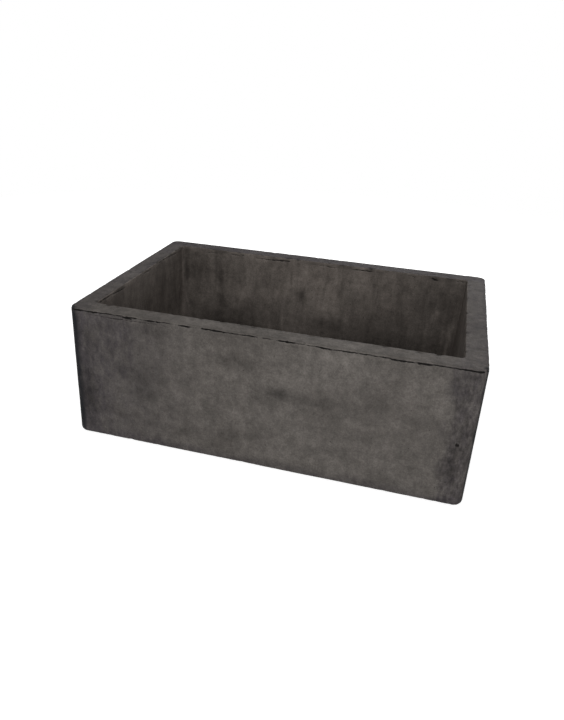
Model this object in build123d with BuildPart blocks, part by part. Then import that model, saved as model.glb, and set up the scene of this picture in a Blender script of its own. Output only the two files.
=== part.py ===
from build123d import *

import os
from math import cos, radians, tan

# An apron-front kitchen sink: one thick bowl cast in dark concrete, with the basket strainer,
# the nuts that clamp it and the tailpiece that carries the water away.
#
# Millimetres. +X runs to the right along the apron, +Y to the back and +Z up. The origin is
# the middle of the underside that rests on the cabinet, and the drain stands on the Z axis.

# Bowl, outside
basin_width = 762.0
basin_depth = 508.0
basin_height = 273.0
upright_radius = 18.0
rim_radius = 4.0
base_radius = 10.0

# Bowl, inside: the walls lean in towards the floor, as far as the core needs to draw out
wall = 40.0
wall_draft = 2.0
mouth_corner_radius = 6.0
mouth_edge_radius = 2.0
foot_corner_radius = 34.0
cove_radius = 24.0

# Floor of the bowl, falling on four slopes to a level pad round the drain
pad_thickness = 40.0
floor_fall = 6.0
pad_width = 160.0
pad_corner_radius = 55.0

# Drain hole, with a seat for the flange above and a pocket for the ring nut below
drain_hole_radius = 44.5
seat_gap = 1.5
pocket_radius = 68.0
pocket_depth = 18.0

# Strainer body: a drawn steel cup with a flange, a sloping seat and a threaded neck
flange_radius = 57.0
flange_thickness = 1.6
flange_lip_radius = 1.2
cup_radius = 42.5
cup_wall = 2.0
cup_depth = 38.0
cup_mouth_radius = 3.0
throat_radius = 28.0
throat_depth = 11.0
seat_angle = 32.0
neck_radius = 23.8
neck_wall = 3.2
neck_taper = 9.0
neck_length = 20.0

# Spider: a cast cross that stands on the throat's lower edge
spider_arms = 4
spider_thickness = 3.0
spider_arm_width = 3.4
spider_gap = 0.1
hub_radius = 7.5
hub_bore_radius = 4.4

# Washers, from the flange down to the tailpiece
gasket_radius = 56.0
gasket_thickness = 1.5
washer_radius = 53.0
rubber_thickness = 3.2
fibre_thickness = 1.2
seal_thickness = 2.0

# Ring nut on the cup, and coupling nut on the neck
nut_clearance = 0.1
ring_nut_radius = 50.0
ring_nut_height = 11.0
ring_nut_edge = 1.0
lug_count = 6
lug_reach = 6.0
lug_width = 12.0
coupling_flat_radius = 30.0
coupling_sides = 8
coupling_grip = 17.0
coupling_lip = 2.5
coupling_lip_gap = 1.0
coupling_edge = 1.5

# Tailpiece: a thin tube with a turned-out flange
tail_radius = 19.05
tail_wall = 1.0
tail_flange_thickness = 1.2
tail_flange_gap = 0.5
tail_length = 102.0

# Basket that lifts out of the strainer
basket_drop = 3.0
basket_wall = 0.9
basket_rim_width = 3.0
basket_rim_gap = 0.8
basket_rise = 4.5
basket_foot_radius = 29.5
basket_corner_radius = 4.0
slot_count = 16
slot_width = 3.0
slot_height = 13.0
slot_rise = 8.0
basket_hole_radius = 1.8
inner_hole_count = 8
inner_hole_ring = 15.5
outer_hole_count = 12
outer_hole_ring = 22.5

# Rubber stopper under the basket: a hub, a disc and a skirt cut to the slope of the seat
stopper_radius = 34.0
stopper_thickness = 4.0
stopper_hub_radius = 9.0
stopper_hub_height = 4.0
skirt_width = 4.0
skirt_gap = 0.3

# Post with its collar, knob, backing disc, nut and spring clip
post_clearance = 0.1
post_radius = 3.0
collar_radius = 6.0
collar_height = 2.0
tip_radius = 1.9
knob_radius = 10.0
knob_height = 11.0
knob_waist = 2.5
knob_edge_radius = 2.0
knob_rise = 2.0
knob_hold = 7.0
backing_radius = 11.5
backing_thickness = 1.0
post_nut_width = 10.0
post_nut_height = 4.0
clip_thickness = 0.5
clip_width = 3.0
clip_height = 10.0
clip_gap = 0.5

# Levels of the bowl and of the pieces clamped to it, from the top down
rim_level = basin_height
floor_level = pad_thickness + floor_fall
pad_level = pad_thickness
flange_under = pad_level - flange_thickness
seat_level = flange_under - gasket_thickness
rubber_under = pocket_depth - rubber_thickness
fibre_under = rubber_under - fibre_thickness
ring_nut_under = fibre_under - ring_nut_height

# Levels inside the strainer, down to the end of its neck
cup_bore = cup_radius - cup_wall
seat_slope = tan(radians(seat_angle))
cup_level = pad_level - cup_depth
throat_level = cup_level - (cup_bore - throat_radius) * seat_slope
throat_under = throat_level - throat_depth
neck_bore = neck_radius - neck_wall
neck_top = throat_under - neck_taper
neck_end = neck_top - neck_length

# Levels of the tailpiece and the nut that holds it
seal_under = neck_end - seal_thickness
tail_flange_under = seal_under - tail_flange_thickness
tail_end = seal_under - tail_length
coupling_top = neck_end + coupling_grip
coupling_under = tail_flange_under - coupling_lip
tail_bore = tail_radius - tail_wall
nut_bore = neck_radius + nut_clearance

# Levels of the basket, its stopper and its post
basket_top = pad_level - basket_drop
basket_under = cup_level + basket_rise
basket_floor = basket_under + basket_wall
basket_rim_radius = cup_bore - basket_rim_gap
basket_mouth_radius = basket_rim_radius - basket_rim_width
stopper_top = basket_under - stopper_hub_height
stopper_under = stopper_top - stopper_thickness
collar_under = basket_floor + backing_thickness
collar_top = collar_under + collar_height
knob_under = collar_top + knob_rise
post_nut_under = stopper_under - post_nut_height
post_bore = post_radius + post_clearance

# Spring clip, whose sides are widest half way down the spider's hub
clip_middle = throat_under + spider_thickness / 2
clip_top = clip_middle + clip_height / 2
clip_foot = clip_middle - clip_height / 2
clip_side = tip_radius + clip_thickness / 2
clip_bow = hub_bore_radius - clip_gap - clip_thickness / 2
tip_end = clip_foot + clip_thickness / 2


def seat_height(radius):
    """Height of the strainer's sloping seat at a radius."""
    return cup_level - (cup_bore - radius) * seat_slope


def save(shape, name):
    """Label a finished piece and write it under its own name."""
    shape.label = name
    export_step(shape, f"parts/{name}.step")


os.makedirs("parts", exist_ok=True)

# Basin: the outer block, then the bowl drawn out of it
mouth_width = basin_width - 2 * wall
mouth_depth = basin_depth - 2 * wall
lean = (rim_level - floor_level) * tan(radians(wall_draft))
foot_width = mouth_width - 2 * lean
foot_depth = mouth_depth - 2 * lean

with BuildPart() as basin:
    with BuildSketch():
        RectangleRounded(basin_width, basin_depth, upright_radius)
    extrude(amount=rim_level)
    fillet(basin.faces().sort_by(Axis.Z)[-1].edges(), rim_radius)
    fillet(basin.faces().sort_by(Axis.Z)[0].edges(), base_radius)

    with BuildSketch(Plane.XY.offset(rim_level)):
        RectangleRounded(mouth_width, mouth_depth, mouth_corner_radius)
    with BuildSketch(Plane.XY.offset(floor_level)):
        RectangleRounded(foot_width, foot_depth, foot_corner_radius)
    loft(mode=Mode.SUBTRACT)
    bowl_floor = basin.faces().filter_by(Axis.Z).sort_by(Axis.Z)[-2]
    fillet(bowl_floor.outer_wire().edges(), cove_radius)
    rim_face = basin.faces().filter_by(Axis.Z).sort_by(Axis.Z)[-1]
    fillet(rim_face.inner_wires().edges(), mouth_edge_radius)

    # Four slopes from the foot of the coves to the pad
    slope_width = foot_width - 2 * cove_radius
    slope_depth = foot_depth - 2 * cove_radius
    with BuildSketch(Plane.XY.offset(floor_level)):
        RectangleRounded(slope_width, slope_depth, foot_corner_radius - cove_radius)
    with BuildSketch(Plane.XY.offset(pad_level)):
        RectangleRounded(pad_width, pad_width, pad_corner_radius)
    loft(ruled=True, mode=Mode.SUBTRACT)

    # Seat of the flange, drain hole and pocket of the ring nut
    with BuildSketch(Plane.XY.offset(seat_level)):
        Circle(flange_radius + seat_gap)
    extrude(amount=pad_level - seat_level, mode=Mode.SUBTRACT)
    with BuildSketch():
        Circle(drain_hole_radius)
    extrude(amount=seat_level, mode=Mode.SUBTRACT)
    with BuildSketch():
        Circle(pocket_radius)
    extrude(amount=pocket_depth, mode=Mode.SUBTRACT)
save(basin.part, "basin")

# Strainer body: one drawn and turned shell
cup_side = Vector(cup_radius, seat_height(cup_radius) - cup_wall / cos(radians(seat_angle)))
throat_side = throat_radius + cup_wall
throat_shoulder = seat_height(throat_side) - cup_wall / cos(radians(seat_angle))

with BuildPart() as strainer_body:
    with BuildSketch(Plane.XZ):
        with BuildLine():
            Polyline(
                (flange_radius, pad_level),
                (flange_radius, flange_under),
                (cup_radius, flange_under),
                (cup_side.X, cup_side.Y),
                (throat_side, throat_shoulder),
                (throat_side, throat_under),
                (neck_radius, neck_top),
                (neck_radius, neck_end),
                (neck_bore, neck_end),
                (neck_bore, neck_top),
                (throat_radius, throat_under),
                (throat_radius, throat_level),
                (cup_bore, cup_level),
                (cup_bore, pad_level),
                close=True,
            )
        make_face()
    revolve(axis=Axis.Z)
    top_edges = strainer_body.faces().filter_by(Axis.Z).sort_by(Axis.Z)[-1].edges()
    fillet(top_edges.sort_by(SortBy.LENGTH)[0], cup_mouth_radius)
    top_edges = strainer_body.faces().filter_by(Axis.Z).sort_by(Axis.Z)[-1].edges()
    fillet(top_edges.sort_by(SortBy.LENGTH)[-1], flange_lip_radius)
save(strainer_body.part, "strainer_body")

# Spider: arms across the throat, and a hub that the basket's clip enters
with BuildPart() as spider:
    with BuildSketch(Plane.XY.offset(throat_under)):
        with PolarLocations(0, spider_arms):
            Rectangle(throat_radius, spider_arm_width, align=(Align.MIN, Align.CENTER))
        Circle(throat_radius - spider_gap, mode=Mode.INTERSECT)
        Circle(hub_radius)
        Circle(hub_bore_radius, mode=Mode.SUBTRACT)
    extrude(amount=spider_thickness)
save(spider.part, "spider")

# Flat washers: outer radius, inner radius, underside and thickness
cup_fit = cup_radius + nut_clearance
washers = {
    "flange_gasket": (gasket_radius, drain_hole_radius, seat_level, gasket_thickness),
    "rubber_washer": (washer_radius, cup_fit, rubber_under, rubber_thickness),
    "fibre_washer": (washer_radius, cup_fit, fibre_under, fibre_thickness),
    "tailpiece_seal": (neck_radius, tail_bore, seal_under, seal_thickness),
    "basket_backing": (backing_radius, post_bore, basket_floor, backing_thickness),
}
for washer_name, (outer, inner, underside, thickness) in washers.items():
    with BuildPart() as washer:
        with BuildSketch(Plane.XY.offset(underside)):
            Circle(outer)
            Circle(inner, mode=Mode.SUBTRACT)
        extrude(amount=thickness)
    save(washer.part, washer_name)

# Ring nut: a cast ring with lugs for the spanner
with BuildPart() as ring_nut:
    with BuildSketch(Plane.XY.offset(ring_nut_under)):
        Circle(ring_nut_radius)
        with PolarLocations(0, lug_count):
            Rectangle(ring_nut_radius + lug_reach, lug_width, align=(Align.MIN, Align.CENTER))
        Circle(cup_fit, mode=Mode.SUBTRACT)
    extrude(amount=ring_nut_height)
    chamfer(ring_nut.faces().sort_by(Axis.Z)[0].outer_wire().edges(), ring_nut_edge)
save(ring_nut.part, "ring_nut")

# Coupling nut: eight flats outside, a bore for the neck, and a lip under the tailpiece's flange
with BuildPart() as coupling_nut:
    with BuildSketch(Plane.XY.offset(coupling_under)):
        RegularPolygon(coupling_flat_radius, coupling_sides, major_radius=False)
        Circle(tail_radius + coupling_lip_gap, mode=Mode.SUBTRACT)
    extrude(amount=coupling_top - coupling_under)
    with BuildSketch(Plane.XY.offset(tail_flange_under)):
        Circle(nut_bore)
    extrude(amount=coupling_top - tail_flange_under, mode=Mode.SUBTRACT)
    chamfer(coupling_nut.faces().sort_by(Axis.Z)[0].outer_wire().edges(), coupling_edge)
save(coupling_nut.part, "coupling_nut")

# Tailpiece
with BuildPart() as tailpiece:
    with BuildSketch(Plane.XY.offset(tail_end)):
        Circle(tail_radius)
        Circle(tail_bore, mode=Mode.SUBTRACT)
    extrude(amount=tail_length)
    with BuildSketch(Plane.XY.offset(tail_flange_under)):
        Circle(nut_bore - tail_flange_gap)
        Circle(tail_bore, mode=Mode.SUBTRACT)
    extrude(amount=tail_flange_thickness)
save(tailpiece.part, "tailpiece")

# Basket: a pressed cup with a flat rim, slots in its side and holes in its floor
with BuildPart() as basket:
    with BuildSketch(Plane.XZ):
        with BuildLine():
            Polyline(
                (0, basket_under),
                (basket_foot_radius, basket_under),
                (basket_mouth_radius, basket_top),
                (0, basket_top),
                close=True,
            )
        make_face()
    revolve(axis=Axis.Z)
    fillet(basket.faces().sort_by(Axis.Z)[0].edges(), basket_corner_radius)
    offset(amount=-basket_wall, openings=basket.faces().sort_by(Axis.Z)[-1])
    with BuildSketch(Plane.XY.offset(basket_top - basket_wall)):
        Circle(basket_rim_radius)
        Circle(basket_mouth_radius - basket_wall / 2, mode=Mode.SUBTRACT)
    extrude(amount=basket_wall)

    slot_middle = basket_under + slot_rise + slot_height / 2
    with BuildSketch(Plane.YZ):
        with Locations((0, slot_middle)):
            SlotOverall(slot_height, slot_width, rotation=90)
    slot_cut = extrude(amount=basket_rim_radius, mode=Mode.PRIVATE)
    for turn in range(slot_count):
        add(slot_cut.rotate(Axis.Z, turn * 360 / slot_count), mode=Mode.SUBTRACT)

    with BuildSketch(Plane.XY.offset(basket_under)):
        Circle(post_bore)
        with PolarLocations(inner_hole_ring, inner_hole_count):
            Circle(basket_hole_radius)
        with PolarLocations(outer_hole_ring, outer_hole_count):
            Circle(basket_hole_radius)
    extrude(amount=basket_wall, mode=Mode.SUBTRACT)
save(basket.part, "basket")

# Stopper: hub, disc and skirt in one turned section
skirt_bore = stopper_radius - skirt_width
with BuildPart() as stopper:
    with BuildSketch(Plane.XZ):
        with BuildLine():
            Polyline(
                (post_bore, basket_under),
                (stopper_hub_radius, basket_under),
                (stopper_hub_radius, stopper_top),
                (stopper_radius, stopper_top),
                (stopper_radius, seat_height(stopper_radius) + skirt_gap),
                (skirt_bore, seat_height(skirt_bore) + skirt_gap),
                (skirt_bore, stopper_under),
                (post_bore, stopper_under),
                close=True,
            )
        make_face()
    revolve(axis=Axis.Z)
save(stopper.part, "stopper")

# Post: shank, collar and a thinner tip that enters the spider's hub
with BuildPart() as post:
    with BuildSketch(Plane.XY.offset(post_nut_under)):
        Circle(post_radius)
    extrude(amount=knob_under + knob_hold - post_nut_under)
    with BuildSketch(Plane.XY.offset(collar_under)):
        Circle(collar_radius)
    extrude(amount=collar_height)
    with BuildSketch(Plane.XY.offset(tip_end)):
        Circle(tip_radius)
    extrude(amount=post_nut_under - tip_end)
save(post.part, "post")

# Knob: a waisted grip with a blind bore for the post
with BuildPart() as knob:
    with BuildSketch(Plane.XZ):
        with BuildLine():
            knob_foot = Line((post_bore, knob_under), (knob_radius - knob_waist, knob_under))
            knob_brow = (knob_radius, knob_under + knob_height * 2 / 3)
            knob_side = TangentArc(knob_foot @ 1, knob_brow, tangent=(0, 1))
            Polyline(
                knob_side @ 1,
                (knob_radius, knob_under + knob_height),
                (0, knob_under + knob_height),
                (0, knob_under + knob_hold),
                (post_bore, knob_under + knob_hold),
                knob_foot @ 0,
            )
        make_face()
    revolve(axis=Axis.Z)
    fillet(knob.faces().sort_by(Axis.Z)[-1].edges(), knob_edge_radius)
save(knob.part, "knob")

# Nut that clamps the stopper and the basket to the post's collar
with BuildPart() as post_nut:
    with BuildSketch(Plane.XY.offset(post_nut_under)):
        RegularPolygon(post_nut_width / 2, 6, major_radius=False)
        Circle(post_bore, mode=Mode.SUBTRACT)
    extrude(amount=post_nut_height)
save(post_nut.part, "post_nut")

# Spring clip: one strip folded under the post's tip, with both sides bowed out in the hub
with BuildPart() as spring_clip:
    with BuildSketch(Plane.XZ):
        with BuildLine():
            Line((-clip_side, clip_foot), (clip_side, clip_foot))
            ThreePointArc((clip_side, clip_foot), (clip_bow, clip_middle), (clip_side, clip_top))
            ThreePointArc((-clip_side, clip_foot), (-clip_bow, clip_middle), (-clip_side, clip_top))
        trace(line_width=clip_thickness)
    extrude(amount=clip_width / 2, both=True)
save(spring_clip.part, "spring_clip")
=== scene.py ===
from math import atan2, cos, degrees, exp, pi, radians, sin, tan

import bmesh
import bpy
from mathutils import Matrix, Vector, noise


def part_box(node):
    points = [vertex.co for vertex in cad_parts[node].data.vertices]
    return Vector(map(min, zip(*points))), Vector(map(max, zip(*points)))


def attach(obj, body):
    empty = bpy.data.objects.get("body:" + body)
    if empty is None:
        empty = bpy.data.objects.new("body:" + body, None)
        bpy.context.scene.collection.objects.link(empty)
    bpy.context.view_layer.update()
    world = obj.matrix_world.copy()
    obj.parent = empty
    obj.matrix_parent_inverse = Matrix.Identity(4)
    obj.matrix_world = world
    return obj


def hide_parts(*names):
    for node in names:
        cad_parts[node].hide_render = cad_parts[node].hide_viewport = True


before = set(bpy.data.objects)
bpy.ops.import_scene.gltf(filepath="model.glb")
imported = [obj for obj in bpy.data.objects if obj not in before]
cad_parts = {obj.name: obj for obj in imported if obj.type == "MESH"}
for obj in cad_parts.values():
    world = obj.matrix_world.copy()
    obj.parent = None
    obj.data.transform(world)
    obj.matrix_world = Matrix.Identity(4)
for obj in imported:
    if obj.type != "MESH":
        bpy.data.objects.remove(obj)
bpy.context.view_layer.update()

# Basin. One thick casting in dark grey concrete, made upside down over a core, so its walls lean
# in towards the floor and its faces keep the clouds and streaks of the wet mix. The last pour
# capped the rim, and a thin seam stays open just under it, outside and in.
# Light and shade are also painted into the casting's colour: on the uprights' rounded edges, the rim, the
# turned walls, the foot and in the bowl.
half_width, half_depth, rim_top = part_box("basin")[1]
upright_radius = 0.018
rim_radius = 0.004
base_radius = 0.010
wall = 0.040
draft = radians(2)
mouth_corner = 0.006
mouth_edge = 0.002
foot_corner = 0.034
cove_radius = 0.024
floor_height = 0.046
pad_height = 0.040
pad_half = 0.080
pad_corner = 0.055
flange_seat_radius = 0.0585
flange_seat_height = 0.0369
drain_radius = 0.0445
pocket_radius = 0.068
pocket_height = 0.018

casting = bmesh.new()
bmesh.ops.create_grid(casting, x_segments=1, y_segments=1, size=1)
start_width = half_width - base_radius
start_depth = half_depth - base_radius
start_corner = upright_radius - base_radius
bmesh.ops.scale(casting, vec=(start_width, start_depth, 1), verts=casting.verts[:])
bmesh.ops.bevel(
    casting,
    geom=casting.verts[:],
    offset=start_corner,
    offset_type="OFFSET",
    affect="VERTICES",
    segments=12,
    profile=0.5,
    material=-1,
)
bmesh.ops.delete(casting, geom=casting.faces[:], context="FACES_ONLY")
sides = sorted(casting.edges, key=lambda edge: -edge.calc_length())[:4]
bmesh.ops.subdivide_edges(casting, edges=sides[:2], cuts=180)
bmesh.ops.subdivide_edges(casting, edges=sides[2:], cuts=117)

# Each vertex of a ring keeps its station: how far along a straight it stands, the way the side
# faces there, its spoke round the drain, and its walk along the wall from the apron's middle.
casting.verts.layers.int.new("station")
casting.verts.layers.int.new("ring")
station_key = casting.verts.layers.int["station"]
ring_key = casting.verts.layers.int["ring"]
stations = []
straight = Vector((start_width - start_corner, start_depth - start_corner))
for vertex in casting.verts:
    along = Vector((vertex.co.x / straight.x, vertex.co.y / straight.y))
    along = Vector((max(-1, min(1, along.x)), max(-1, min(1, along.y))))
    facing = (vertex.co.xy - along * straight).normalized()
    spoke = (along * (pad_half - pad_corner) + facing * pad_corner).normalized()
    run = abs(along.x) if facing.y <= 0 else 2 - abs(along.x)
    walk = straight.x * run + straight.y * (along.y + 1)
    walk += upright_radius * atan2(abs(facing.x), -facing.y)
    vertex[station_key] = len(stations)
    stations.append((along, facing, spoke, walk if along.x >= 0 else -walk))


def on_outline(station, width, depth, corner, height):
    """A station's place on a rounded rectangle of these half sizes."""
    along, facing = station[:2]
    return Vector(
        (
            along.x * (width - corner) + facing.x * corner,
            along.y * (depth - corner) + facing.y * corner,
            height,
        )
    )


# The section through the wall, one ring after another: up the outer face, over the rim, down the
# bowl to the pad, through the drain hole and back under the foot.
section = []


def add_outline(width, depth, corner, height):
    section.append(lambda station: on_outline(station, width, depth, corner, height))


def add_circle(radius, height):
    section.append(lambda station: (station[2] * radius).to_3d() + Vector((0, 0, height)))


def outer(inset, height):
    add_outline(half_width - inset, half_depth - inset, upright_radius - inset, height)


def inner(drop, inset=0.0):
    """A ring on the leaning wall of the bowl, this far below the rim."""
    share = drop / (rim_top - floor_height)
    inset += wall + drop * tan(draft)
    corner = mouth_corner + (foot_corner - mouth_corner) * share + wall + drop * tan(draft)
    add_outline(half_width - inset, half_depth - inset, corner - inset, rim_top - drop)


def shares(count):
    return [step / count for step in range(1, count + 1)]


for share in shares(6):
    outer(base_radius * (1 - sin(share * pi / 2)), base_radius * (1 - cos(share * pi / 2)))
first_wall_ring = len(section)
seam_zone = 0.014
for share in shares(34):
    outer(0, base_radius + (rim_top - seam_zone - base_radius) * share)
for share in shares(14):
    outer(0, rim_top - seam_zone + (seam_zone - rim_radius) * share)
for share in shares(7):
    outer(rim_radius * (1 - cos(share * pi / 2)), rim_top - rim_radius * (1 - sin(share * pi / 2)))
last_outer_ring = len(section)
for share in shares(9):
    inset = rim_radius + (wall - rim_radius - mouth_edge) * share
    corner = (upright_radius - rim_radius) * (1 - share) + (mouth_corner + mouth_edge) * share
    add_outline(half_width - inset, half_depth - inset, corner, rim_top)
first_inner_ring = len(section)
for share in shares(4):
    inner(mouth_edge * (1 - cos(share * pi / 2)), -mouth_edge * (1 - sin(share * pi / 2)))
for share in shares(13):
    inner(mouth_edge + (seam_zone - mouth_edge) * share)
cove_reach = cove_radius / tan((pi / 2 + draft) / 2)
cove_drop = rim_top - floor_height - cove_reach * cos(draft)
for share in shares(25):
    inner(seam_zone + (cove_drop - seam_zone) * share)
foot_inset = wall + (rim_top - floor_height) * tan(draft)
foot_width = half_width - foot_inset
foot_depth = half_depth - foot_inset
for share in shares(8):
    turn = draft + (pi / 2 - draft) * share
    inset = cove_reach - cove_radius * cos(turn)
    height = floor_height + cove_radius * (1 - sin(turn))
    add_outline(foot_width - inset, foot_depth - inset, foot_corner - inset, height)
for share in shares(12):
    add_outline(
        (foot_width - cove_radius) * (1 - share) + pad_half * share,
        (foot_depth - cove_radius) * (1 - share) + pad_half * share,
        (foot_corner - cove_radius) * (1 - share) + pad_corner * share,
        floor_height * (1 - share) + pad_height * share,
    )
last_marked_ring = len(section)
add_circle(0.066, pad_height)
add_circle(flange_seat_radius, pad_height)
add_circle(flange_seat_radius, flange_seat_height)
add_circle(drain_radius, flange_seat_height)
add_circle(drain_radius, pocket_height)
add_circle(pocket_radius, pocket_height)
add_circle(pocket_radius, 0)
outer(base_radius, 0)

ring = casting.edges[:]
for number, place in enumerate(section):
    made = bmesh.ops.extrude_edge_only(casting, edges=ring)["geom"]
    ring = [piece for piece in made if isinstance(piece, bmesh.types.BMEdge)]
    for vertex in made:
        if isinstance(vertex, bmesh.types.BMVert):
            vertex.co = place(stations[vertex[station_key]])
            vertex[ring_key] = number
bmesh.ops.remove_doubles(casting, verts=casting.verts[:], dist=1e-6)
bmesh.ops.recalc_face_normals(casting, faces=casting.faces[:])
casting.normal_update()

# Open stretches of the seam on the apron, in millimetres: from and to along the face, the drop
# below the rim at both ends, and how far it gapes, from 0 to 1.
apron_marks = [
    (-371, -350, 3.9, 3.5, 0.95),
    (-350, -333, 3.5, 3.9, 0.62),
    (-336, -318, 3.9, 3.5, 1.00),
    (-318, -284, 3.4, 2.6, 0.64),
    (-284, -262, 2.6, 2.8, 0.52),
    (-267, -250, 5.2, 6.2, 1.00),
    (-260, -239, 3.0, 2.8, 0.80),
    (-239, -216, 3.0, 4.2, 0.36),
    (-218, -203, 4.4, 3.8, 1.00),
    (-203, -172, 3.5, 2.6, 0.60),
    (-155, -132, 3.7, 3.7, 0.95),
    (-113, -68, 2.9, 3.6, 0.95),
    (-68, -6, 3.4, 2.8, 0.60),
    (-1, 19, 3.0, 2.6, 0.50),
    (30, 60, 3.0, 3.6, 0.95),
    (35, 77, 3.8, 2.8, 0.45),
    (77, 94, 2.6, 4.3, 0.50),
    (94, 126, 3.6, 5.4, 0.80),
    (126, 172, 4.8, 4.4, 0.60),
    (172, 225, 4.4, 4.2, 0.55),
    (224, 233, 5.7, 6.0, 1.00),
    (228, 265, 6.0, 5.6, 0.65),
    (267, 292, 5.2, 4.7, 0.95),
    (291, 338, 4.2, 4.0, 0.55),
    (338, 376, 4.0, 4.3, 0.90),
    (-342, -301, 7.8, 10.4, 0.30),
    (-301, -254, 10.4, 9.7, 0.35),
    (-254, -195, 9.7, 8.5, 0.30),
    (-195, -171, 8.6, 11.5, 0.25),
    (-371, -120, 4.3, 3.4, 0.26),
    (-140, 40, 3.5, 3.1, 0.24),
]

# Inside the bowl the seam is rubbed soft: along the back wall, and from front to back on the left.
back_marks = [
    (-276, -250, 9.0, 8.6, 0.50),
    (-215, -180, 7.2, 6.4, 0.55),
    (-150, -110, 9.0, 8.8, 0.60),
    (-112, -66, 8.6, 7.0, 0.85),
    (-16, 34, 7.0, 6.8, 0.35),
    (5, 52, 7.6, 9.0, 0.50),
    (82, 131, 8.0, 6.6, 0.75),
    (139, 158, 7.7, 8.0, 0.30),
    (210, 232, 6.2, 7.0, 0.45),
    (264, 280, 6.5, 9.4, 1.00),
    (318, 338, 4.6, 5.0, 0.50),
]
left_marks = [
    (-202, -151, 3.6, 5.6, 0.60),
    (-151, -96, 5.6, 8.6, 0.65),
    (-12, 28, 5.0, 7.2, 0.50),
    (72, 120, 3.0, 4.4, 0.60),
    (120, 176, 4.4, 8.8, 0.60),
]


def chance(number, seed):
    """A fixed value from 0 to 1 for a whole number."""
    return 0.5 + 0.5 * noise.cell(Vector((number + 0.5, seed + 0.5, 0.5)))


def more_marks(start, end, drop, gape, seed):
    """The same kind of stretches, for a part of the wall that the seam follows unmeasured."""
    marks = []
    place = start
    while place < end:
        count = len(marks)
        reach = 22 + 48 * chance(count, seed)
        tilt = 2.2 * (chance(count, seed + 1) - 0.5)
        height = drop + 1.6 * (chance(count, seed + 2) - 0.5)
        width = gape * (0.4 + 0.6 * chance(count, seed + 3))
        marks.append((place, place + reach, height - tilt, height + tilt, width))
        place += reach + 7 * (chance(count, seed + 4) - 0.4)
    return marks


wall_walk = 1000 * max(abs(station[3]) for station in stations)
outer_marks = list(apron_marks)
outer_marks += more_marks(376, wall_walk, 4.2, 0.9, 3)
outer_marks += [(-b, -a, d, c, g) for a, b, c, d, g in more_marks(374, wall_walk, 4.2, 0.9, 11)]
inner_marks = more_marks(-wall_walk, wall_walk, 5.5, 0.8, 23)


def seam_at(walk, drop, marks):
    """How open the seam is at a place on the wall, from 0 to 1."""
    walk *= 1000
    drop *= 1000
    depth = 0
    for start, end, first_drop, last_drop, gape in marks:
        fade = min(walk - start, end - walk) / 7 + 0.4
        if fade <= 0:
            continue
        middle = first_drop + (last_drop - first_drop) * (walk - start) / (end - start)
        middle += 1.1 * noise.noise(Vector((walk / 6, gape, 0)))
        breadth = 0.8 + 0.9 * gape + 1.0 * noise.noise(Vector((walk / 7, 5, gape)))
        depth = max(depth, gape * min(1, fade) * exp(-(((drop - middle) / breadth) ** 2)))
    return depth


# Clouds that stand out on the apron and on the bowl's back and left walls, in millimetres: where
# they are along the wall and up it, how far they spread, and how much darker or lighter they are.
# On the back wall some of them are painted light and shade.
apron_clouds = [
    (-235, 150, 45, 22, -0.30),
    (-225, 112, 35, 14, -0.34),
    (-345, 100, 11, 60, -0.40),
    (-359, 95, 9, 90, -0.33),
    (-343, 222, 15, 15, -0.40),
    (-290, 175, 40, 26, -0.12),
    (-200, 246, 60, 12, -0.14),
    (-170, 52, 60, 26, -0.10),
    (-70, 212, 14, 8, -0.30),
    (-22, 208, 14, 10, -0.24),
    (30, 166, 20, 9, -0.48),
    (78, 160, 60, 10, -0.28),
    (14, 146, 28, 9, -0.20),
    (-55, 60, 30, 14, -0.14),
    (0, 70, 20, 12, -0.14),
    (210, 172, 40, 16, -0.16),
    (275, 155, 30, 12, -0.18),
    (350, 88, 6, 22, -0.38),
    (347, 114, 7, 9, -0.28),
    (340, 62, 8, 7, -0.14),
    (354, 72, 9, 11, -0.26),
    (363, 137, 5, 8, 0.18),
    (365, 92, 5, 9, 0.16),
    (360, 52, 7, 9, -0.20),
    (366, 120, 4, 16, -0.22),
    (356, 190, 4, 10, -0.22),
    (330, 232, 6, 5, -0.20),
    (350, 255, 16, 7, -0.34),
    (340, 212, 5, 8, -0.28),
    (356, 224, 4, 9, -0.28),
    (349, 196, 5, 6, -0.30),
    (362, 168, 5, 13, -0.24),
    (40, 198, 50, 13, 0.18),
    (150, 246, 50, 18, 0.18),
    (-60, 263, 60, 3, -0.14),
    (40, 262, 50, 3, -0.12),
    (-130, 258, 50, 3, -0.12),
    (270, 235, 32, 24, 0.17),
    (30, 38, 45, 12, 0.20),
    (86, 76, 14, 30, 0.14),
    (-48, 186, 30, 12, 0.14),
    (-80, 236, 24, 8, 0.14),
    (-280, 70, 40, 28, 0.08),
    (-45, 115, 25, 50, 0.10),
    (-235, 228, 6, 5, 0.30),
]
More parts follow.
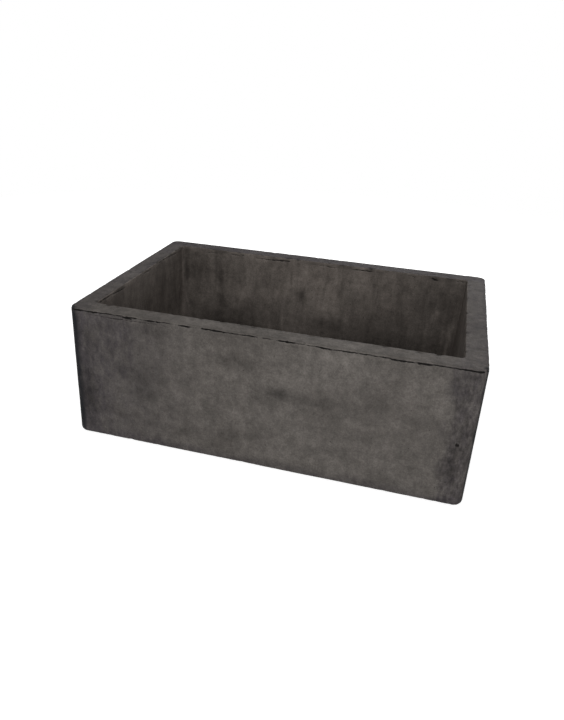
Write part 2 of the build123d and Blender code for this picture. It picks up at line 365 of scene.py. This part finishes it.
back_clouds_and_painted_light = [
    (-35, 186, 17, 14, -0.50),
    (62, 212, 9, 15, -0.34),
    (96, 190, 20, 20, -0.28),
    (-240, 205, 8, 26, -0.45),
    (-236, 150, 11, 22, -0.45),
    (-332, 215, 6, 45, -0.50),
    (-322, 262, 10, 9, -0.20),
    (-150, 190, 10, 20, -0.20),
    (30, 122, 30, 18, -0.35),
    (-100, 130, 14, 30, -0.25),
    # Broad patches from here on are painted shade and light: darker towards the wall's bottom and its ends,
    # lighter across its top middle.
    (200, 160, 70, 60, -0.12),
    (-215, 85, 110, 48, -0.47),
    (185, 85, 130, 50, -0.45),
    (-298, 215, 50, 52, -0.30),
    (282, 210, 66, 52, -0.37),
    (222, 262, 12, 8, -0.25),
    (10, 90, 60, 36, -0.10),
    (25, 232, 110, 34, 0.12),
    (0, 240, 130, 44, 0.15),
    (-120, 268, 120, 10, 0.20),
    (140, 266, 120, 10, 0.20),
    (18, 170, 40, 45, 0.24),
    (-78, 192, 20, 18, 0.22),
    (-165, 176, 45, 16, 0.20),
    (95, 252, 60, 10, 0.14),
    # Painted highlights down the rounded corner between the back and right walls.
    (286, 190, 6, 18, 0.60),
    (322, 125, 4, 50, 0.55),
    (308, 150, 3, 60, 0.30),
]
left_clouds = [
    (-62, 268, 24, 7, 0.40),
    (48, 268, 18, 6, 0.35),
    (-150, 225, 30, 20, 0.10),
]


def patches_at(x, z, clouds):
    """How much lighter or darker the listed patches make a place on a wall: clouds, and on the back wall
    painted light and shade as well.
    """
    ragged_x = x * 1000 + 9 * noise.noise(Vector((x * 60, z * 60, 3)))
    ragged_z = z * 1000 + 7 * noise.noise(Vector((x * 60, z * 60, 9)))
    total = 0
    for middle_x, middle_z, spread_x, spread_z, strength in clouds:
        away = ((ragged_x - middle_x) / spread_x) ** 2 + ((ragged_z - middle_z) / spread_z) ** 2
        if away < 6:
            total += strength * exp(-away)
    return total


def ramp(value, low, high):
    """0 up to the low value, 1 from the high one on, and smooth between them."""
    share = max(0.0, min(1.0, (value - low) / (high - low)))
    return share * share * (3 - 2 * share)


def painted_edge_shade_at(place, turn):
    """Painted shade on an upright's rounded edge and at the apron's left end: how dark it is, by how far it has
    turned from the face, weaker at the back.
    """
    start = 44 if place.x > 0 else 16
    wavy = 12 * noise.noise(Vector((place.x * 3, 2, place.z * 30)))
    dark = max(ramp(turn + wavy, start, start + 20), ramp(-place.x + wavy / 4000, 0.357, 0.368))
    return dark * (1 - ramp(turn, 76, 90)) * (1 if place.y < 0 else 0.4)


def wash_and_shade_at(place, facing, turn, drop):
    """How much of the dark wash still lies outside and on the rim, from 0 to 1, with painted shade added on the
    rim, the apron's turned corners, the sides, the back and the foot.
    """
    strokes = noise.noise(Vector((place.x * 55, place.y * 55, place.z * 12)))
    patches = noise.noise(place * 22 + Vector((5, 0, 0)))
    if drop < rim_radius:
        # Painted shade on the back of the rim, its side ends and its rounded outer edge, mottled with the wash.
        amount = 0.94 * ramp(place.y, 0.195, 0.222)
        amount = max(amount, 0.50 * ramp(-place.x, 0.325, 0.345), 0.44 * ramp(place.x, 0.325, 0.345))
        border = max(abs(place.x) - half_width, place.y - half_depth)
        amount += 0.30 * ramp(border, -0.010, -0.004) + 0.30 * patches + 0.20 * strokes
        return max(0.0, min(1.0, amount))
    reach = -place.x + 0.028 * strokes + 0.034 * patches
    ends = 0.40 * ramp(reach, 0.10, 0.26)
    ends += 0.30 * ramp(reach + 0.042 * ramp(place.z, 0.10, 0.17), 0.292, 0.322)
    ends += 0.30 * ramp(reach, 0.334, 0.356)
    ends += 0.60 * ramp(place.x + 0.014 * strokes + 0.022 * patches, 0.320, 0.346)
    # Painted shade over the apron's turned corners, carried on at the same strength over the sides and back.
    share = ramp(turn, 30, 75) if facing.y < 0 else 1
    amount = ends * (1 - share) + (0.34 + 0.5 * patches + 0.3 * strokes) * share
    # Painted shade in a band along the foot.
    amount += 0.50 * ramp(0.025 - place.z + 0.008 * patches, 0, 0.013)
    return max(0.0, min(1.0, amount))


pinhole = Vector((0.353, 0.129))
attributes = {name: [] for name in ("seam", "cloud_and_painted_light", "bowl", "rim", "edge", "wash_and_shade", "spatter")}
moves = []
for vertex in casting.verts:
    number = vertex[ring_key]
    along, facing, spoke, walk = stations[vertex[station_key]]
    place = vertex.co.copy()
    drop = rim_top - place.z
    marked = first_wall_ring - 6 <= number < last_marked_ring
    outside = number < last_outer_ring
    inside = number >= first_inner_ring
    turn = degrees(atan2(abs(facing.x), abs(facing.y)))
    seam = cloud_and_painted_light = edge = wash_and_shade = rim = spatter = 0
    if marked and drop < seam_zone:
        if outside:
            seam = seam_at(walk, drop, outer_marks)
        elif inside and facing.y > 0.5:
            seam = 0.6 * seam_at(place.x, drop, back_marks)
        elif inside and facing.x < -0.5:
            seam = 0.6 * seam_at(place.y, drop, left_marks)
        elif inside:
            seam = 0.6 * seam_at(walk, drop, inner_marks)
    if outside and facing.y < -0.5:
        # Painted highlight: a lighter band where the apron turns into its right upright.
        cloud_and_painted_light = patches_at(place.x, place.z, apron_clouds) + 0.07 * ramp(place.x, 0.358, 0.366)
        scuffed = 0.7 + 0.6 * noise.noise(Vector((0, 7, place.z * 40)))
        scuff_line = -0.3520 - 0.028 * (0.242 - place.z)
        cloud_and_painted_light += 0.20 * scuffed * exp(-(((place.x - scuff_line) / 0.0036) ** 2))
        hole = (Vector((place.x, place.z)) - pinhole).length / 0.0027
        seam = max(seam, 1.3 * exp(-(hole**2)))
    if inside and facing.y > 0.5:
        cloud_and_painted_light = patches_at(place.x, place.z, back_clouds_and_painted_light)
    if inside:
        # Painted light: the bowl's right wall, which faces left, is made lighter.
        cloud_and_painted_light += 0.20 * ramp(-facing.x, 0.2, 0.9)
        if facing.x < -0.5:
            cloud_and_painted_light += patches_at(place.y, place.z, left_clouds)
        cloud_and_painted_light -= 0.55 * seam
        cloud_and_painted_light -= (0.06 + 0.5 * noise.noise(place * 30)) * (1 - ramp(drop, 0.004, 0.016))
    if last_outer_ring <= number < first_inner_ring:
        rim = 1.0
        # Painted light and shade on the rim: lighter at the front and in a band along the back rim's inner
        # edge, darker at its left end.
        cloud_and_painted_light += 0.05 * ramp(-place.y, 0.19, 0.22)
        cloud_and_painted_light += 0.10 * ramp(place.y, 0.205, 0.216) * (1 - ramp(place.y, 0.224, 0.236))
        if place.x < -0.34:
            cloud_and_painted_light -= 0.10 * (1 - ramp(-place.x, 0.345, 0.356))
    if outside:
        edge = painted_edge_shade_at(place, turn)
    if number < first_inner_ring:
        wash_and_shade = wash_and_shade_at(place, facing, turn, drop)
    if outside:
        spatter = ramp(place.x + 0.02 * noise.noise(place * 40), 0.318, 0.350)
        spatter *= 1 - 0.75 * ramp(turn, 40, 85)
    depth = 0
    if marked:
        waves = 0.5 + 0.5 * noise.noise(place * 8)
        ripples = 0.5 + 0.5 * noise.noise(place * 46)
        depth = 0.0006 * waves + 0.0002 * ripples
        on_edge = abs(drop - 0.001) < 0.003 or place.z < base_radius or abs(abs(along.x) - 1) < 1e-6
        if on_edge and abs(facing.x * facing.y) + (place.z < base_radius) + (drop < 0.004) > 0.05:
            depth += 0.0022 * max(0, noise.noise(place * 85) - 0.28)
        depth += 0.0030 * min(1, seam)
        if first_inner_ring - 2 <= number <= first_inner_ring + 4:
            crumbled = max(0, noise.noise(Vector((place.x * 75, place.y * 75, 4))) - 0.12)
            depth += 0.0026 * crumbled
            cloud_and_painted_light -= 1.1 * crumbled
        if number >= last_marked_ring - 4:
            depth *= (last_marked_ring - number) / 5
    moves.append(vertex.normal * depth)
    attributes["seam"].append(min(1, seam * 1.35))
    attributes["cloud_and_painted_light"].append(cloud_and_painted_light)
    attributes["bowl"].append(1.0 if inside else 0.0)
    attributes["rim"].append(rim)
    attributes["edge"].append(edge)
    attributes["wash_and_shade"].append(wash_and_shade)
    attributes["spatter"].append(spatter)
for vertex, move in zip(casting.verts, moves):
    vertex.co -= move
bmesh.ops.triangulate(casting, faces=casting.faces[:], quad_method="SHORT_EDGE", ngon_method="BEAUTY")
basin_mesh = bpy.data.meshes.new("basin_casting")
casting.to_mesh(basin_mesh)
casting.free()
for name, values in attributes.items():
    basin_mesh.attributes.new(name, "FLOAT", "POINT").data.foreach_set("value", values)
basin_mesh.shade_smooth()
basin = bpy.data.objects.new("basin_casting", basin_mesh)
bpy.context.scene.collection.objects.link(basin)


def finish_of(name):
    """A new material, its node tree and its shader."""
    material = bpy.data.materials.new(name)
    material.use_nodes = True
    return material, material.node_tree, material.node_tree.nodes["Principled BSDF"]


def place_of(tree, stretch=(1, 1, 1), shift=(0, 0, 0)):
    """The piece's own coordinates, in metres, stretched and shifted."""
    mapping = tree.nodes.new("ShaderNodeMapping")
    mapping.inputs["Scale"].default_value = stretch
    mapping.inputs["Location"].default_value = shift
    tree.links.new(tree.nodes.new("ShaderNodeTexCoord").outputs["Object"], mapping.inputs["Vector"])
    return mapping.outputs["Vector"]


def grain(tree, scale, detail=4, roughness=0.55, stretch=(1, 1, 1), shift=(0, 0, 0), twist=0.0):
    """Noise with this many lumps to the metre."""
    texture = tree.nodes.new("ShaderNodeTexNoise")
    texture.inputs["Scale"].default_value = scale
    texture.inputs["Detail"].default_value = detail
    texture.inputs["Roughness"].default_value = roughness
    texture.inputs["Distortion"].default_value = twist
    tree.links.new(place_of(tree, stretch, shift), texture.inputs["Vector"])
    return texture.outputs["Fac"]


def span(tree, value, low, high, to_low=0.0, to_high=1.0):
    """A value's range moved to another one, and kept inside it."""
    node = tree.nodes.new("ShaderNodeMapRange")
    node.clamp = True
    node.inputs["From Min"].default_value = low
    node.inputs["From Max"].default_value = high
    node.inputs["To Min"].default_value = to_low
    node.inputs["To Max"].default_value = to_high
    tree.links.new(value, node.inputs["Value"])
    return node.outputs["Result"]


def sum_of(tree, first, second, operation="ADD"):
    node = tree.nodes.new("ShaderNodeMath")
    node.operation = operation
    for socket, value in zip(node.inputs, (first, second)):
        if isinstance(value, (int, float)):
            socket.default_value = value
        else:
            tree.links.new(value, socket)
    return node.outputs["Value"]


def mixed(tree, amount, first, second, mode="MIX"):
    """Two colours, or two outputs, mixed by an amount or an output."""
    node = tree.nodes.new("ShaderNodeMix")
    node.data_type = "RGBA"
    node.blend_type = mode
    pairs = (("Factor_Float", amount), ("A_Color", first), ("B_Color", second))
    for name, value in pairs:
        socket = next(s for s in node.inputs if s.identifier == name)
        if isinstance(value, (int, float)):
            socket.default_value = value
        elif isinstance(value, tuple):
            socket.default_value = (*value, 1)
        else:
            tree.links.new(value, socket)
    return next(s for s in node.outputs if s.identifier == "Result_Color")


def mark(tree, name):
    """An attribute of the piece's own vertices."""
    node = tree.nodes.new("ShaderNodeAttribute")
    node.attribute_name = name
    return node.outputs["Fac"]


def relief(tree, shader, height, distance, strength=1.0):
    """Bump of this depth, in metres, on top of any that is there."""
    node = tree.nodes.new("ShaderNodeBump")
    node.inputs["Distance"].default_value = distance
    node.inputs["Strength"].default_value = strength
    tree.links.new(height, node.inputs["Height"])
    if shader.inputs["Normal"].is_linked:
        tree.links.new(shader.inputs["Normal"].links[0].from_socket, node.inputs["Normal"])
    tree.links.new(node.outputs["Normal"], shader.inputs["Normal"])


concrete, tree, shader = finish_of("dark_cast_concrete")
clouds = grain(tree, 9, detail=5, roughness=0.6, twist=0.4)
tone = mixed(tree, span(tree, clouds, 0.34, 0.68), (0.082, 0.074, 0.0675), (0.113, 0.103, 0.0945))
blotches = grain(tree, 52, detail=10, roughness=0.82, shift=(3, 1, 2))
tone = mixed(tree, 1.0, tone, span(tree, blotches, 0.28, 0.72, 0.58, 1.42), "MULTIPLY")
smears = grain(tree, 38, detail=6, roughness=0.7, stretch=(0.4, 0.4, 1), shift=(2, 6, 1), twist=0.5)
tone = mixed(tree, 1.0, tone, span(tree, smears, 0.3, 0.7, 0.90, 1.10), "MULTIPLY")
strokes = grain(tree, 70, detail=5, roughness=0.65, stretch=(1, 1, 0.2), shift=(7, 2, 5))
tone = mixed(tree, 1.0, tone, span(tree, strokes, 0.3, 0.7, 0.90, 1.10), "MULTIPLY")
runs = grain(tree, 30, detail=7, roughness=0.66, stretch=(1, 1, 0.3), shift=(1, 8, 3), twist=0.9)
bowl_tone = mixed(tree, 1.0, tone, span(tree, runs, 0.32, 0.68, 0.72, 1.22), "MULTIPLY")
bowl_tone = mixed(tree, 1.0, bowl_tone, (1.0, 0.955, 0.93), "MULTIPLY")
tone = mixed(tree, mark(tree, "bowl"), tone, bowl_tone)
mottle = grain(tree, 62, detail=8, roughness=0.75, shift=(6, 6, 9))
rim_tone = mixed(tree, 1.0, tone, span(tree, mottle, 0.3, 0.7, 0.78, 1.38), "MULTIPLY")
tone = mixed(tree, mark(tree, "rim"), tone, rim_tone)
tone = mixed(tree, 1.0, tone, sum_of(tree, mark(tree, "cloud_and_painted_light"), 1), "MULTIPLY")
speckle = grain(tree, 420, detail=3, roughness=0.6)
tone = mixed(tree, 1.0, tone, span(tree, speckle, 0.3, 0.7, 0.82, 1.18), "MULTIPLY")
wash_and_shade_patchiness = grain(tree, 105, detail=6, roughness=0.7, stretch=(1, 1, 0.45), shift=(4, 9, 4))
wash_and_shade_patchiness = span(tree, wash_and_shade_patchiness, 0.32, 0.68, 0.42, 1.58)
# A bluish grey for the dark wash and for the painted shade that goes with it.
wash_and_shade = mixed(tree, sum_of(tree, mark(tree, "wash_and_shade"), wash_and_shade_patchiness, "MULTIPLY"), (1, 1, 1), (0.54, 0.53, 0.60))
tone = mixed(tree, 1.0, tone, wash_and_shade, "MULTIPLY")
spatter = grain(tree, 190, detail=2, roughness=0.6, stretch=(1, 1, 0.42), shift=(2, 2, 8))
spattered = mixed(tree, 1.0, tone, span(tree, spatter, 0.34, 0.66, 0.72, 1.28), "MULTIPLY")
tone = mixed(tree, mark(tree, "spatter"), tone, spattered)
# Painted shade: near black on the uprights' rounded edges, broken up like the wash.
edge = sum_of(tree, mark(tree, "edge"), span(tree, wash_and_shade_patchiness, 0.42, 1.2, 0.55, 0.95), "MULTIPLY")
tone = mixed(tree, edge, tone, (0.009, 0.010, 0.012))

# The casting's air holes, up to 2 mm across, and the crumbled lips of the seam.
cells = tree.nodes.new("ShaderNodeTexVoronoi")
cells.inputs["Scale"].default_value = 58
tree.links.new(place_of(tree), cells.inputs["Vector"])
holes = span(tree, cells.outputs["Distance"], 0.035, 0.065, 1, 0)
tone = mixed(tree, sum_of(tree, holes, 0.8, "MULTIPLY"), tone, (0.016, 0.014, 0.013))
seam = mark(tree, "seam")
crumbs = grain(tree, 210, detail=4, roughness=0.7, shift=(9, 4, 4))
chips = sum_of(tree, span(tree, crumbs, 0.56, 0.62), span(tree, seam, 0.02, 0.10), "MULTIPLY")
tone = mixed(tree, sum_of(tree, chips, 0.5, "MULTIPLY"), tone, (0.150, 0.140, 0.128))
gap = sum_of(tree, seam, span(tree, crumbs, 0.3, 0.7, -0.24, 0.24))
tone = mixed(tree, span(tree, gap, 0.25, 0.50), tone, (0.0095, 0.0085, 0.008))
tree.links.new(tone, shader.inputs["Base Color"])
tree.links.new(span(tree, blotches, 0.3, 0.7, 0.62, 0.82), shader.inputs["Roughness"])
shader.inputs["Specular IOR Level"].default_value = 0.05
relief(tree, shader, blotches, 0.0008)
relief(tree, shader, speckle, 0.0002)
relief(tree, shader, sum_of(tree, holes, -1, "MULTIPLY"), 0.0008)
basin_mesh.materials.append(concrete)
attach(basin, "sink")
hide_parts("basin")

def turned(tree, scale, detail=2):
    """Fine lines that run round the drain's axis, as a lathe or a spinning tool leaves them."""
    split = tree.nodes.new("ShaderNodeSeparateXYZ")
    tree.links.new(place_of(tree), split.inputs["Vector"])
    flat = tree.nodes.new("ShaderNodeCombineXYZ")
    tree.links.new(split.outputs["X"], flat.inputs["X"])
    tree.links.new(split.outputs["Y"], flat.inputs["Y"])
    radius = tree.nodes.new("ShaderNodeVectorMath")
    radius.operation = "LENGTH"
    tree.links.new(flat.outputs["Vector"], radius.inputs[0])
    line = tree.nodes.new("ShaderNodeCombineXYZ")
    tree.links.new(radius.outputs["Value"], line.inputs["X"])
    tree.links.new(split.outputs["Z"], line.inputs["Z"])
    texture = tree.nodes.new("ShaderNodeTexNoise")
    texture.inputs["Scale"].default_value = scale
    texture.inputs["Detail"].default_value = detail
    tree.links.new(line.outputs["Vector"], texture.inputs["Vector"])
    return texture.outputs["Fac"]


def dress(material, *names):
    """Gives CAD nodes their finish."""
    for name in names:
        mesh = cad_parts[name].data
        mesh.materials.clear()
        mesh.materials.append(material)


# Strainer body and spider. The body is drawn from stainless sheet and spun to a satin face, and
# clamped through the basin's floor by its flange. The spider is a cast cross in its throat.
steel, tree, shader = finish_of("satin_stainless")
lathe = turned(tree, 2600)
smears = grain(tree, 65, detail=5, roughness=0.6)
tone = mixed(tree, span(tree, smears, 0.35, 0.7), (0.60, 0.60, 0.59), (0.50, 0.50, 0.495))
tone = mixed(tree, 1.0, tone, span(tree, lathe, 0.3, 0.7, 0.93, 1.05), "MULTIPLY")
lime = span(tree, grain(tree, 240, detail=3, roughness=0.7, shift=(4, 4, 4)), 0.63, 0.72, 0, 0.35)
tone = mixed(tree, lime, tone, (0.70, 0.69, 0.66))
tree.links.new(tone, shader.inputs["Base Color"])
shader.inputs["Metallic"].default_value = 1.0
wear = sum_of(tree, span(tree, lathe, 0.3, 0.7, 0.0, 0.14), span(tree, smears, 0.3, 0.7, 0.22, 0.36))
tree.links.new(wear, shader.inputs["Roughness"])
relief(tree, shader, lathe, 0.00003)
dress(steel, "strainer_body", "spider", "basket", "basket_backing", "post", "post_nut", "spring_clip")

# Flange gasket, rubber washer and stopper. Moulded black rubber, dusted grey where it was pressed.
rubber, tree, shader = finish_of("black_rubber")
dust = grain(tree, 180, detail=5, roughness=0.65)
tone = mixed(tree, span(tree, dust, 0.4, 0.75), (0.020, 0.020, 0.021), (0.052, 0.051, 0.050))
tree.links.new(tone, shader.inputs["Base Color"])
tree.links.new(span(tree, dust, 0.3, 0.7, 0.55, 0.8), shader.inputs["Roughness"])
shader.inputs["Specular IOR Level"].default_value = 0.35
relief(tree, shader, grain(tree, 900, detail=2), 0.00006)
dress(rubber, "flange_gasket", "rubber_washer", "stopper")

# Fibre washer. Pressed red-brown fibre, so that the brass nut turns without tearing the rubber.
fibre, tree, shader = finish_of("pressed_fibre")
strands = grain(tree, 420, detail=5, roughness=0.7, twist=1.2)
tone = mixed(tree, span(tree, strands, 0.32, 0.68), (0.23, 0.075, 0.045), (0.36, 0.15, 0.09))
tree.links.new(tone, shader.inputs["Base Color"])
tree.links.new(span(tree, strands, 0.3, 0.7, 0.75, 0.95), shader.inputs["Roughness"])
shader.inputs["Specular IOR Level"].default_value = 0.3
relief(tree, shader, strands, 0.0001)
dress(fibre, "fibre_washer")

# Ring nut and coupling nut. Cast brass, machined on the thread and dulled in the hand.
brass, tree, shader = finish_of("cast_brass")
tarnish = grain(tree, 55, detail=6, roughness=0.65)
pores = grain(tree, 700, detail=2)
tone = mixed(tree, span(tree, tarnish, 0.35, 0.7), (0.66, 0.46, 0.20), (0.40, 0.27, 0.13))
tone = mixed(tree, 1.0, tone, span(tree, pores, 0.3, 0.7, 0.88, 1.08), "MULTIPLY")
tree.links.new(tone, shader.inputs["Base Color"])
shader.inputs["Metallic"].default_value = 1.0
tree.links.new(span(tree, tarnish, 0.3, 0.7, 0.30, 0.55), shader.inputs["Roughness"])
relief(tree, shader, pores, 0.00008)
dress(brass, "ring_nut", "coupling_nut")

# Tailpiece and its seal. A chromed brass tube, flanged at the top over a white seal.
chrome, tree, shader = finish_of("polished_chrome")
spots = grain(tree, 320, detail=4, roughness=0.7)
tone = mixed(tree, span(tree, spots, 0.58, 0.72), (0.74, 0.745, 0.75), (0.58, 0.57, 0.55))
tree.links.new(tone, shader.inputs["Base Color"])
shader.inputs["Metallic"].default_value = 1.0
film = sum_of(tree, span(tree, spots, 0.45, 0.75, 0.05, 0.22), span(tree, turned(tree, 900), 0.3, 0.7, 0, 0.04))
tree.links.new(film, shader.inputs["Roughness"])
relief(tree, shader, spots, 0.00001)
dress(chrome, "tailpiece", "knob")
seal, tree, shader = finish_of("white_seal")
scuffs = grain(tree, 260, detail=4)
tone = mixed(tree, span(tree, scuffs, 0.35, 0.7), (0.80, 0.79, 0.75), (0.66, 0.65, 0.60))
tree.links.new(tone, shader.inputs["Base Color"])
tree.links.new(span(tree, scuffs, 0.3, 0.7, 0.45, 0.6), shader.inputs["Roughness"])
relief(tree, shader, scuffs, 0.00003)
dress(seal, "tailpiece_seal")

# Studio. A plain white floor with soft lamps in front, above and behind, and the camera where the
# photographer's stood: to the right of the middle and above the rim. The floor has a shaded well
# for the drain, which hangs through the cabinet in use.
camera_data = bpy.data.cameras.new("camera")
camera = bpy.data.objects.new("camera", camera_data)
bpy.context.scene.collection.objects.link(camera)
azimuth, elevation, roll = radians(15.777), radians(25.47), radians(2.303)
aim = Vector((-0.07871, 0, 0.105583))
camera_distance = 1.447981
back = Vector((sin(azimuth) * cos(elevation), -cos(azimuth) * cos(elevation), sin(elevation)))
right = Vector((0, 0, 1)).cross(back).normalized()
up = back.cross(right)
axes = (right * cos(roll) + up * sin(roll), up * cos(roll) - right * sin(roll), back)
camera.matrix_world = (
    Matrix.Translation(aim + back * camera_distance) @ Matrix(axes).transposed().to_4x4()
)
camera_data.lens = 654.2 / 720 * camera_data.sensor_width
camera_data.shift_x = (282 - 256.73) / 720
camera_data.shift_y = (357.502 - 360) / 720
bpy.context.scene.camera = camera

ground = bmesh.new()
hidden_hole = bmesh.ops.create_circle(ground, segments=64, radius=0.1)["verts"]
border = bmesh.ops.create_circle(ground, segments=64, radius=2.4)["verts"]
bmesh.ops.bridge_loops(ground, edges=ground.edges[:])
bmesh.ops.recalc_face_normals(ground, faces=ground.faces[:])
if sum(face.normal.z for face in ground.faces) < 0:
    bmesh.ops.reverse_faces(ground, faces=ground.faces[:])
ground_mesh = bpy.data.meshes.new("studio_floor")
ground.to_mesh(ground_mesh)
ground.free()
studio_floor = bpy.data.objects.new("studio_floor", ground_mesh)
bpy.context.scene.collection.objects.link(studio_floor)
paper, tree, shader = finish_of("white_paper")
shader.inputs["Base Color"].default_value = (0.8, 0.8, 0.8, 1)
shader.inputs["Roughness"].default_value = 0.9
shader.inputs["Specular IOR Level"].default_value = 0.0
shader.inputs["Emission Color"].default_value = (1, 1, 1, 1)
light_path = tree.nodes.new("ShaderNodeLightPath")
away = tree.nodes.new("ShaderNodeVectorMath")
away.operation = "LENGTH"
tree.links.new(place_of(tree), away.inputs[0])
glow = span(tree, away.outputs["Value"], 0.5, 1.6, 0.66, 1.0)
seen = sum_of(tree, light_path.outputs["Is Camera Ray"], light_path.outputs["Is Glossy Ray"], "MAXIMUM")
seen = sum_of(tree, seen, light_path.outputs["Is Transmission Ray"], "MAXIMUM")
tree.links.new(sum_of(tree, seen, glow, "MULTIPLY"), shader.inputs["Emission Strength"])
ground_mesh.materials.append(paper)
pit = bmesh.new()
bmesh.ops.create_cone(pit, cap_ends=True, segments=64, radius1=0.1, radius2=0.1, depth=0.18)
bmesh.ops.translate(pit, vec=(0, 0, -0.09), verts=pit.verts[:])
bmesh.ops.delete(pit, geom=[face for face in pit.faces if face.normal.z > 0.5], context="FACES_ONLY")
bmesh.ops.reverse_faces(pit, faces=pit.faces[:])
pit_mesh = bpy.data.meshes.new("studio_well")
pit.to_mesh(pit_mesh)
pit.free()
studio_well = bpy.data.objects.new("studio_well", pit_mesh)
bpy.context.scene.collection.objects.link(studio_well)
shade, tree, shader = finish_of("shaded_card")
card = grain(tree, 40)
tree.links.new(mixed(tree, card, (0.10, 0.10, 0.10), (0.14, 0.14, 0.14)), shader.inputs["Base Color"])
shader.inputs["Roughness"].default_value = 0.9
pit_mesh.materials.append(shade)


def softbox(name, place, width, height, power):
    """A soft area lamp that looks at the middle of the sink."""
    lamp_data = bpy.data.lights.new(name, "AREA")
    lamp_data.shape = "RECTANGLE"
    lamp_data.size = width
    lamp_data.size_y = height
    lamp_data.energy = power
    lamp = bpy.data.objects.new(name, lamp_data)
    bpy.context.scene.collection.objects.link(lamp)
    way = Vector((0, 0, 0.15)) - Vector(place)
    lamp.matrix_world = Matrix.Translation(place) @ way.to_track_quat("-Z", "Y").to_matrix().to_4x4()


softbox("front_softbox", (0.2, -2.7, 1.5), 1.8, 1.4, 52)
softbox("top_softbox", (0.1, -0.3, 2.4), 1.6, 1.2, 9)
softbox("back_softbox", (0.4, 2.4, 0.6), 1.8, 0.9, 18)

world = bpy.data.worlds.new("white_studio")
bpy.context.scene.world = world
world.use_nodes = True
tree = world.node_tree
backdrop = tree.nodes["Background"]
backdrop.inputs["Color"].default_value = (1, 1, 1, 1)
light_path = tree.nodes.new("ShaderNodeLightPath")
seen = sum_of(tree, light_path.outputs["Is Camera Ray"], light_path.outputs["Is Glossy Ray"], "MAXIMUM")
seen = sum_of(tree, seen, light_path.outputs["Is Transmission Ray"], "MAXIMUM")
tree.links.new(span(tree, seen, 0, 1, 0.30, 1.0), backdrop.inputs["Strength"])
bpy.context.scene.view_settings.view_transform = "Standard"
